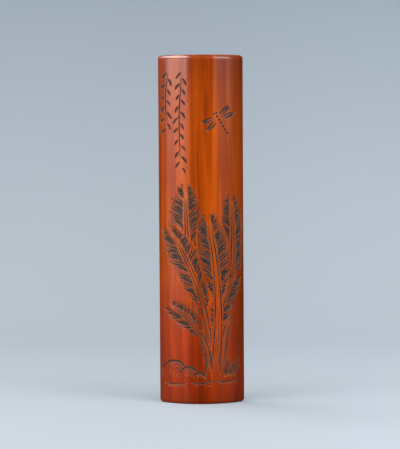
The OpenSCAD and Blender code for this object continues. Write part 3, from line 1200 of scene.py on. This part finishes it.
@dataclass
class BambooSlab:
    """Slab split from a culm, with the picture pressed into its face.

    Sizes are in millimetres and angles in degrees. The rounds are those of the ends' rims, and the corners
    those of the front view.

    Args:
        radius: Outer radius of the culm.
        reach: Angle that is spun on both sides of the front, past the long edges.
        edge_flat: Narrow flat that blunts each long edge.
        edge_ease: Small bevel of the remaining sharp edges.
        sharp: Angle from which an edge counts as sharp.
        cell: Size of the plain face's cells.
        levels: How often the cells near a cut are halved.
        facet_error: How far a point of the face may lie off the culm's radius.
        edge_margin: Strip along each long edge that isn't carved.
        flesh_depth: How far the flesh shows on the rims of the hollow side.
        flat: How squarely a face looks along an axis to count as an end, as a desk edge, and as the front.
    """

    length: float = 272.0
    width: float = 66.0
    radius: float = 44.0
    wall: float = 6.5
    reach: float = 53.0
    edge_flat: float = 1.2
    top_round: float = 4.2
    foot_round: float = 2.2
    back_round: float = 1.8
    round_steps: int = 8
    top_corner: float = 2.0
    foot_corner: float = 3.0
    corner_steps: int = 5
    edge_ease: float = 0.35
    sharp: float = 33.0
    cell: float = 2.4
    levels: int = 3
    facet_error: float = 0.05
    edge_margin: float = 0.8
    flesh_depth: float = 0.6
    flat: Triple = (0.93, 0.9, 0.5)
    node: str = "bamboo_slab"

    def desk_y(self) -> float:
        """Return the place of the plane that lies on the desk, in millimetres."""
        drop = math.sqrt(self.radius ** 2 - self.width ** 2 / 4)
        return (self.radius - drop + self.edge_flat) / 2

    def axis_y(self) -> float:
        """Return the place of the culm's axis."""
        return self.radius - self.desk_y()

    def wall_loop(self, shape: Shape, start: float) -> None:
        """Draw the section of the culm wall with rounded rims, at an angle from the front.

        Args:
            shape: Mesh that takes the section.
            start: Angle of the section in radians.
        """
        inner = self.radius - self.wall
        corners = ((inner, 0.0, self.back_round), (self.radius, 0.0, self.foot_round),
                   (self.radius, self.length, self.top_round), (inner, self.length, self.back_round))
        verts = [shape.verts.new((r * math.sin(start), self.axis_y() - r * math.cos(start), z))
                 for r, z, _ in corners]
        shape.faces.new(verts)
        for vert, (_, _, offset) in zip(verts, corners):
            bmesh.ops.bevel(shape, geom=[vert], offset=offset, affect="VERTICES", segments=self.round_steps,
                            profile=0.5, material=-1)
        bmesh.ops.delete(shape, geom=shape.faces[:], context="FACES_ONLY")

    @staticmethod
    def split(shape: Shape, place: Vector, out: Vector, clear: bool = False) -> list[bmesh.types.BMEdge]:
        """Cut the faces of a mesh along a plane.

        Args:
            shape: Mesh to cut.
            place: Point on the plane.
            out: Direction of the plane.
            clear: Whether what lies beyond the plane is deleted.

        Returns:
            The open edges along the cut.
        """
        geom = shape.verts[:] + shape.edges[:] + shape.faces[:]
        found = bmesh.ops.bisect_plane(shape, geom=geom, dist=1e-5, plane_co=place, plane_no=out,
                                       clear_outer=clear)
        return [e for e in found["geom_cut"] if isinstance(e, bmesh.types.BMEdge) and e.is_boundary]

    def trim(self, shape: Shape, place: Vector, out: Vector) -> None:
        """Cut off what lies beyond a plane and close the cut."""
        bmesh.ops.holes_fill(shape, edges=self.split(shape, place, out, True), sides=0)

    def trim_sides(self, shape: Shape) -> None:
        """Cut the spun wall to the desk plane, the long edges and the rounded corners.

        Args:
            shape: Mesh of the spun wall.
        """
        half = self.width / 2
        self.trim(shape, Vector((0, self.desk_y(), 0)), Vector((0, 1, 0)))
        for side in (-1, 1):
            self.trim(shape, Vector((side * half, 0, 0)), Vector((side, 0, 0)))
        for side in (-1, 1):
            for up, corner in ((-1, self.foot_corner), (1, self.top_corner)):
                middle = Vector((side * (half - corner), 0, corner if up < 0 else self.length - corner))
                for k in range(self.corner_steps):
                    angle = math.radians(90 / self.corner_steps * (k + 0.5))
                    out = Vector((side * math.cos(angle), 0, up * math.sin(angle)))
                    self.trim(shape, middle + corner * out, out)

    def blank(self) -> Shape:
        """Build the uncarved slab.

        Returns:
            Its mesh in millimetres, sliced into cells.
        """
        shape = bmesh.new()
        reach = math.radians(self.reach)
        self.wall_loop(shape, -reach)
        steps = int(round(2 * reach * self.radius / self.cell))
        bmesh.ops.spin(shape, geom=shape.verts[:] + shape.edges[:], cent=(0.0, self.axis_y(), 0.0),
                       axis=(0.0, 0.0, 1.0), angle=2 * reach, steps=steps, use_merge=False)
        bmesh.ops.remove_doubles(shape, verts=shape.verts[:], dist=1e-4)
        bmesh.ops.recalc_face_normals(shape, faces=shape.faces[:])
        self.trim_sides(shape)
        bmesh.ops.recalc_face_normals(shape, faces=shape.faces[:])
        sharp = [e for e in shape.edges
                 if len(e.link_faces) == 2 and e.calc_face_angle(0.0) > math.radians(self.sharp)]
        bmesh.ops.bevel(shape, geom=sharp, offset=self.edge_ease, affect="EDGES", segments=2, profile=0.5,
                        material=-1, clamp_overlap=True)
        plain = self.length - self.foot_round - self.top_round
        rows = int(round(plain / self.cell))
        for k in range(1, rows):
            self.split(shape, Vector((0, 0, self.foot_round + plain * k / rows)), Vector((0, 0, 1)))
        self.sort_faces(shape)
        return shape

    def sort_faces(self, shape: Shape) -> None:
        """Give each face the number of its material place.

        Args:
            shape: Mesh of the blank.
        """
        for face in shape.faces:
            middle = face.calc_center_median()
            away = math.hypot(middle.x, middle.y - self.axis_y())
            kind = Surface.SKIN
            if abs(face.normal.z) > self.flat[0]:
                kind = Surface.END_GRAIN
            elif away < self.radius - self.wall + self.flesh_depth or face.normal.y > self.flat[1]:
                kind = Surface.FLESH
            face.smooth = True
            face.material_index = kind.value

    def on_face(self, place: Vector) -> bool:
        """Tell whether a point lies on the carved face, within the facets' error."""
        away = math.hypot(place.x, place.y - self.axis_y())
        return (abs(away - self.radius) < self.facet_error
                and abs(place.x) < self.width / 2 - self.edge_margin
                and self.foot_round < place.z < self.length - self.top_round)

    def refine(self, shape: Shape, carving: Carving) -> None:
        """Halve the cells of the face near the cuts, and lay the new points on the culm.

        Args:
            shape: Mesh of the blank.
            carving: Picture that the face takes.
        """
        size = self.cell
        for _ in range(self.levels):
            faces = [f for f in shape.faces if f.material_index == Surface.SKIN.value
                     and f.normal.y < -self.flat[2] and len(f.verts) <= 6]
            middles = np.array([f.calc_center_median()[:] for f in faces])[:, FRONT]
            wanted = carving.near(middles, 0.5 * size)
            edges = {e for f, want in zip(faces, wanted) if want for e in f.edges}
            bmesh.ops.subdivide_edges(shape, edges=list(edges), cuts=1, use_grid_fill=True)
            for vert in shape.verts:
                if self.on_face(vert.co):
                    back = vert.co.y - self.axis_y()
                    grow = self.radius / math.hypot(vert.co.x, back)
                    vert.co.x *= grow
                    vert.co.y = self.axis_y() + back * grow
            size /= 2
        bmesh.ops.triangulate(shape, faces=[f for f in shape.faces if len(f.verts) > 4])
        shape.verts.ensure_lookup_table()
        shape.verts.index_update()

    def press(self, verts: list[bmesh.types.BMVert], depth: np.ndarray) -> None:
        """Move points of the face towards the culm's axis.

        Args:
            verts: Points to move.
            depth: Distance in millimetres for each point.
        """
        places = np.array([v.co[:] for v in verts])
        back = places[:, 1] - self.axis_y()
        keep = 1.0 - depth / np.hypot(places[:, 0], back)
        places[:, 0] *= keep
        places[:, 1] = self.axis_y() + back * keep
        for vert, place in zip(verts, places):
            vert.co = place

    def finish(self, shape: Shape, name: str, materials: Iterable[bpy.types.Material],
               marks: Optional[dict[str, np.ndarray]] = None) -> bpy.types.Object:
        """Turn a mesh in millimetres into an object in metres.

        Args:
            shape: Finished mesh, which is freed.
            name: Name of the object.
            materials: Materials in the order of the faces' numbers.
            marks: Values at each point by name, kept as attributes.

        Returns:
            The new object.
        """
        bmesh.ops.scale(shape, vec=(MM, MM, MM), verts=shape.verts[:])
        piece = make_object(shape, name, materials)
        for label, values in (marks or {}).items():
            layer = piece.data.attributes.new(label, "FLOAT", "POINT")
            layer.data.foreach_set("value", values.astype(np.float32))
        return piece


@dataclass
class CarvedFace:
    """Refined face of the slab, with the picture measured at each of its points.

    Args:
        slab: Slab that the face belongs to.
        carving: Picture that the face takes.
        shape: Refined mesh of the blank.
    """

    slab: BambooSlab
    carving: Carving
    shape: Shape
    rows: list[int] = field(init=False)
    cut: np.ndarray = field(init=False)
    hollow: np.ndarray = field(init=False)
    owner: np.ndarray = field(init=False)

    def __post_init__(self) -> None:
        """Measure the picture once."""
        self.rows = [v.index for v in self.shape.verts if self.slab.on_face(v.co)]
        places = np.array([self.shape.verts[i].co[:] for i in self.rows])
        self.cut, self.hollow = (np.zeros(len(self.shape.verts)) for _ in range(2))
        self.owner = np.full(len(self.shape.verts), -1)
        found = self.carving.measure(places[:, FRONT])
        self.hollow[self.rows], self.cut[self.rows], self.owner[self.rows] = found

    def carve(self, materials: Iterable[bpy.types.Material]) -> bpy.types.Object:
        """Press the picture into the face and finish the slab.

        Args:
            materials: Materials in the order of the faces' numbers.

        Returns:
            The carved slab.
        """
        verts = [self.shape.verts[i] for i in self.rows]
        self.slab.press(verts, (self.hollow + self.cut)[self.rows])
        marks = {"cut": self.cut, "hollow": self.hollow}
        return self.slab.finish(self.shape, "carved_slab", materials, marks)


@dataclass
class InkFill:
    """Ink of one motif: a closed skin that lies in the motif's cuts.

    Args:
        face: Face that the ink lies in, before the picture is pressed in.
        node: Node that the piece stands for.
        fill: Share of a cut's depth below the ink level at which the ink's surface lies.
        bed: How far the ink's underside reaches into the bamboo, in millimetres.
    """

    face: CarvedFace
    node: str
    fill: float = 0.72
    bed: float = 0.06

    @staticmethod
    def joined(faces: set[bmesh.types.BMFace]) -> set[bmesh.types.BMFace]:
        """Add the faces round every corner at which the ink would meet itself in a point only.

        Args:
            faces: Faces that the ink covers.

        Returns:
            The faces with the added ones.
        """
        while True:
            edges = Counter(edge for face in faces for edge in face.edges)
            ends = Counter(vert for edge, uses in edges.items() if uses == 1 for vert in edge.verts)
            more = {face for vert, uses in ends.items() if uses > 2 for face in vert.link_faces} - faces
            if not more:
                return faces
            faces |= more

    def build(self, ink: bpy.types.Material) -> bpy.types.Object:
        """Lift the ink from the refined face.

        Args:
            ink: Material of the ink.

        Returns:
            The ink piece.
        """
        carving, start = self.face.carving, self.face.carving.ink_level
        numbers = [i for i, motif in enumerate(carving.motifs) if motif.node == self.node]
        mine = np.isin(self.face.owner, numbers) & (self.face.cut > start)
        shape = self.face.shape.copy()
        inked = self.joined({f for f in shape.faces if any(mine[v.index] for v in f.verts)})
        bmesh.ops.delete(shape, geom=[f for f in shape.faces if f not in inked], context="FACES")
        top = bmesh.ops.extrude_face_region(shape, geom=shape.faces[:], use_keep_orig=True)["geom"]
        upper = {v for v in top if isinstance(v, bmesh.types.BMVert)}
        for level, group in ((True, list(upper)), (False, [v for v in shape.verts if v not in upper])):
            ground, depth, _ = carving.measure(np.array([v.co[:] for v in group])[:, FRONT])
            sunk = start + self.fill * (depth - start) if level else depth + self.bed
            self.face.slab.press(group, ground + sunk)
        bmesh.ops.recalc_face_normals(shape, faces=shape.faces[:])
        for face in shape.faces:
            face.material_index = 0
            face.smooth = True
        return self.face.slab.finish(shape, self.node + "_dried", [ink])


@dataclass(frozen=True)
class Lamp:
    """Soft box that looks at the slab's middle.

    Args:
        name: Name of the lamp.
        place: Place in metres.
        size: Width and height.
        watts: Power.
        colour: Colour of the light.
        target: Point that it looks at.
    """

    name: str
    place: Triple
    size: Pair
    watts: float
    colour: Triple
    target: Triple = (0.0, 0.0, 0.14)

    def build(self) -> None:
        """Add the lamp to the scene."""
        light = bpy.data.lights.new(self.name, "AREA")
        light.shape = "RECTANGLE"
        light.size, light.size_y = self.size
        light.energy = self.watts
        light.color = self.colour
        lamp = bpy.data.objects.new(self.name, light)
        lamp.location = self.place
        lamp.rotation_euler = (Vector(self.target) - Vector(self.place)).to_track_quat("-Z", "Y").to_euler()
        bpy.context.collection.objects.link(lamp)


@dataclass
class Studio:
    """Sweep, lights and camera.

    Args:
        distance: Distance of the camera from the slab's face, in metres.
        aside: Distance of the camera from the slab's middle.
        tilt: How far the camera looks down, in degrees.
        roll: Turn of the camera about its view.
        focal: Focal length in pixels of the photograph's frame.
        frame_height: Height of that frame in pixels.
        sensor: Height of the sensor in millimetres.
        wall_y: Place of the wall behind the slab.
        room: Width, depth and height of the sweep.
        cove: Size of the curve between floor and walls.
        lamps: Key on the left, weaker box on the right, both rim boxes, and a high fill in front.
        sky: Colour of the room's own light.
        ceiling: Strength of that light by direction, from level to upright.
    """

    distance: float = 1.4
    aside: float = -0.0005
    height: float = 0.218
    tilt: float = 3.17
    roll: float = 0.35
    focal: float = 1808.0
    frame_height: float = 449.0
    sensor: float = 24.0
    wall_y: float = 1.0
    room: Triple = (5.0, 4.6, 2.4)
    cove: float = 0.6
    cove_steps: int = 20
    lamps: tuple[Lamp, ...] = (
        Lamp("key_box", (-0.78, -0.62, 0.3), (0.9, 0.62), 6.0, (1.0, 0.97, 0.95)),
        Lamp("right_box", (0.76, -0.68, 0.3), (0.78, 0.62), 1.6, (1.0, 0.97, 0.94)),
        Lamp("left_rim_box", (-0.52, 0.0, 1.12), (1.1, 0.55), 10.0, (1.0, 0.98, 0.97)),
        Lamp("right_rim_box", (0.62, -0.4, 0.98), (0.5, 0.6), 4.8, (1.0, 0.98, 0.97)),
        Lamp("front_fill", (0.08, -0.75, 1.15), (1.0, 0.8), 4.4, (0.99, 0.99, 1.0)))
    sky: Triple = (0.92, 0.96, 1.0)
    ceiling: Span = (0.2, 0.9, 0.03, 0.42)

    def sweep(self) -> None:
        """Add the seamless paper: a floor that curves up into walls all round, open at the top."""
        shape = bmesh.new()
        middle = (0.0, self.wall_y - self.room[1] / 2, self.room[2] / 2)
        bmesh.ops.create_cube(shape, size=1.0)
        bmesh.ops.scale(shape, vec=self.room, verts=shape.verts[:])
        bmesh.ops.translate(shape, vec=middle, verts=shape.verts[:])
        bmesh.ops.delete(shape, geom=[f for f in shape.faces if f.normal.z > 0.9], context="FACES_ONLY")
        inner = [e for e in shape.edges if len(e.link_faces) == 2]
        bmesh.ops.bevel(shape, geom=inner, offset=self.cove, affect="EDGES", segments=self.cove_steps,
                        profile=0.5, material=-1)
        bmesh.ops.reverse_faces(shape, faces=shape.faces[:])
        for face in shape.faces:
            face.smooth = True
        make_object(shape, "paper_sweep", [PaperSweep().build()])

    def lights(self) -> None:
        """Add the lamps and the room's own light."""
        for lamp in self.lamps:
            lamp.build()
        world = bpy.data.worlds.new("studio_room")
        world.use_nodes = True
        wire = Wiring(world.node_tree)
        up = wire.axes(wire.add("ShaderNodeTexCoord").outputs["Generated"])["Z"]
        strength = wire.span(up, *self.ceiling)
        room = wire.feed(wire.add("ShaderNodeBackground"), Color=self.sky, Strength=strength)
        world.node_tree.links.new(room.outputs[0], wire.add("ShaderNodeOutputWorld").inputs[0])
        bpy.context.scene.world = world

    def camera(self, face_y: float) -> None:
        """Add the camera at the photograph's viewing angle.

        Args:
            face_y: Place of the slab's face on the middle line, in metres.
        """
        lens = bpy.data.cameras.new("view")
        lens.sensor_fit = "VERTICAL"
        lens.sensor_height = self.sensor
        lens.lens = self.sensor * self.focal / self.frame_height
        lens.clip_start = 0.01
        view = bpy.data.objects.new("view", lens)
        view.location = (self.aside, face_y - self.distance, self.height)
        view.rotation_euler = (math.radians(90 - self.tilt), math.radians(self.roll), 0.0)
        bpy.context.collection.objects.link(view)
        bpy.context.scene.camera = view


def picture() -> Carving:
    """Return the carved picture, from back to front."""
    ground = StoneGroup.ground
    return Carving([
        WillowSprig("long_sprig_ink", (-13.5, 263.0), 80.0),
        WillowSprig("short_sprig_ink", (-24.5, 263.0), 50.0),
        Dragonfly("dragonfly_ink", (14.0, 222.0)),
        GrassTuft("grass_ink"),
        PlantainLeaf("tall_leaf_ink", 0, (8.6, ground), (-12.0, 173.0), 6.0, 13.0, 12.0, 0.46),
        PlantainLeaf("right_leaf_ink", 1, (11.8, ground), (23.0, 166.0), -6.0, 10.0, 9.0, 0.46),
        PlantainLeaf("left_leaf_ink", 2, (6.0, ground), (-28.0, 140.0), -11.0, 12.0, 11.0, 0.42),
        PlantainLeaf("low_leaf_ink", 3, (13.0, ground), (29.0, 103.0), 9.0, 9.0, 9.0, 0.4),
        PlantainLeaf("front_leaf_ink", 4, (9.5, ground), (4.0, 150.0), -6.0, 12.5, 12.0, 0.46, 7.2),
        PlantainLeaf("drooping_leaf_ink", 5, (5.0, ground), (-28.0, 78.0), -12.0, 9.0, 8.0, 0.45),
        *(StoneGroup("stones_ink", part) for part in range(len(StoneGroup.stones))),
        GroundLine("ground_ink"),
    ])


def hand_over(piece: bpy.types.Object, node: str) -> None:
    """Declare a finished piece to the frame.

    Args:
        piece: Piece that rides on the root body.
        node: Node that it stands for.
    """
    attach(piece, BODY)
    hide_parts(node)
    LOG.info("%s: %d faces", piece.name, len(piece.data.polygons))


def main() -> None:
    """Build the slab, the ink and the studio."""
    logging.basicConfig(level=logging.INFO, format="%(message)s")
    bpy.context.scene.view_settings.view_transform = "Standard"
    effects = Effects()
    carving = picture()
    slab = BambooSlab()
    blank = slab.blank()
    slab.refine(blank, carving)
    face = CarvedFace(slab, carving, blank)

    ink = DriedInk().build(effects)
    for node in dict.fromkeys(motif.node for motif in carving.motifs):
        hand_over(InkFill(face, node).build(ink), node)
    finishes = [finish().build(effects) for finish in (PolishedSkin, ScrapedFlesh, SawnEnd)]
    hand_over(face.carve(finishes), slab.node)

    studio = Studio()
    studio.sweep()
    studio.lights()
    studio.camera((slab.axis_y() - slab.radius) * MM)


if __name__ == "__main__":
    main()
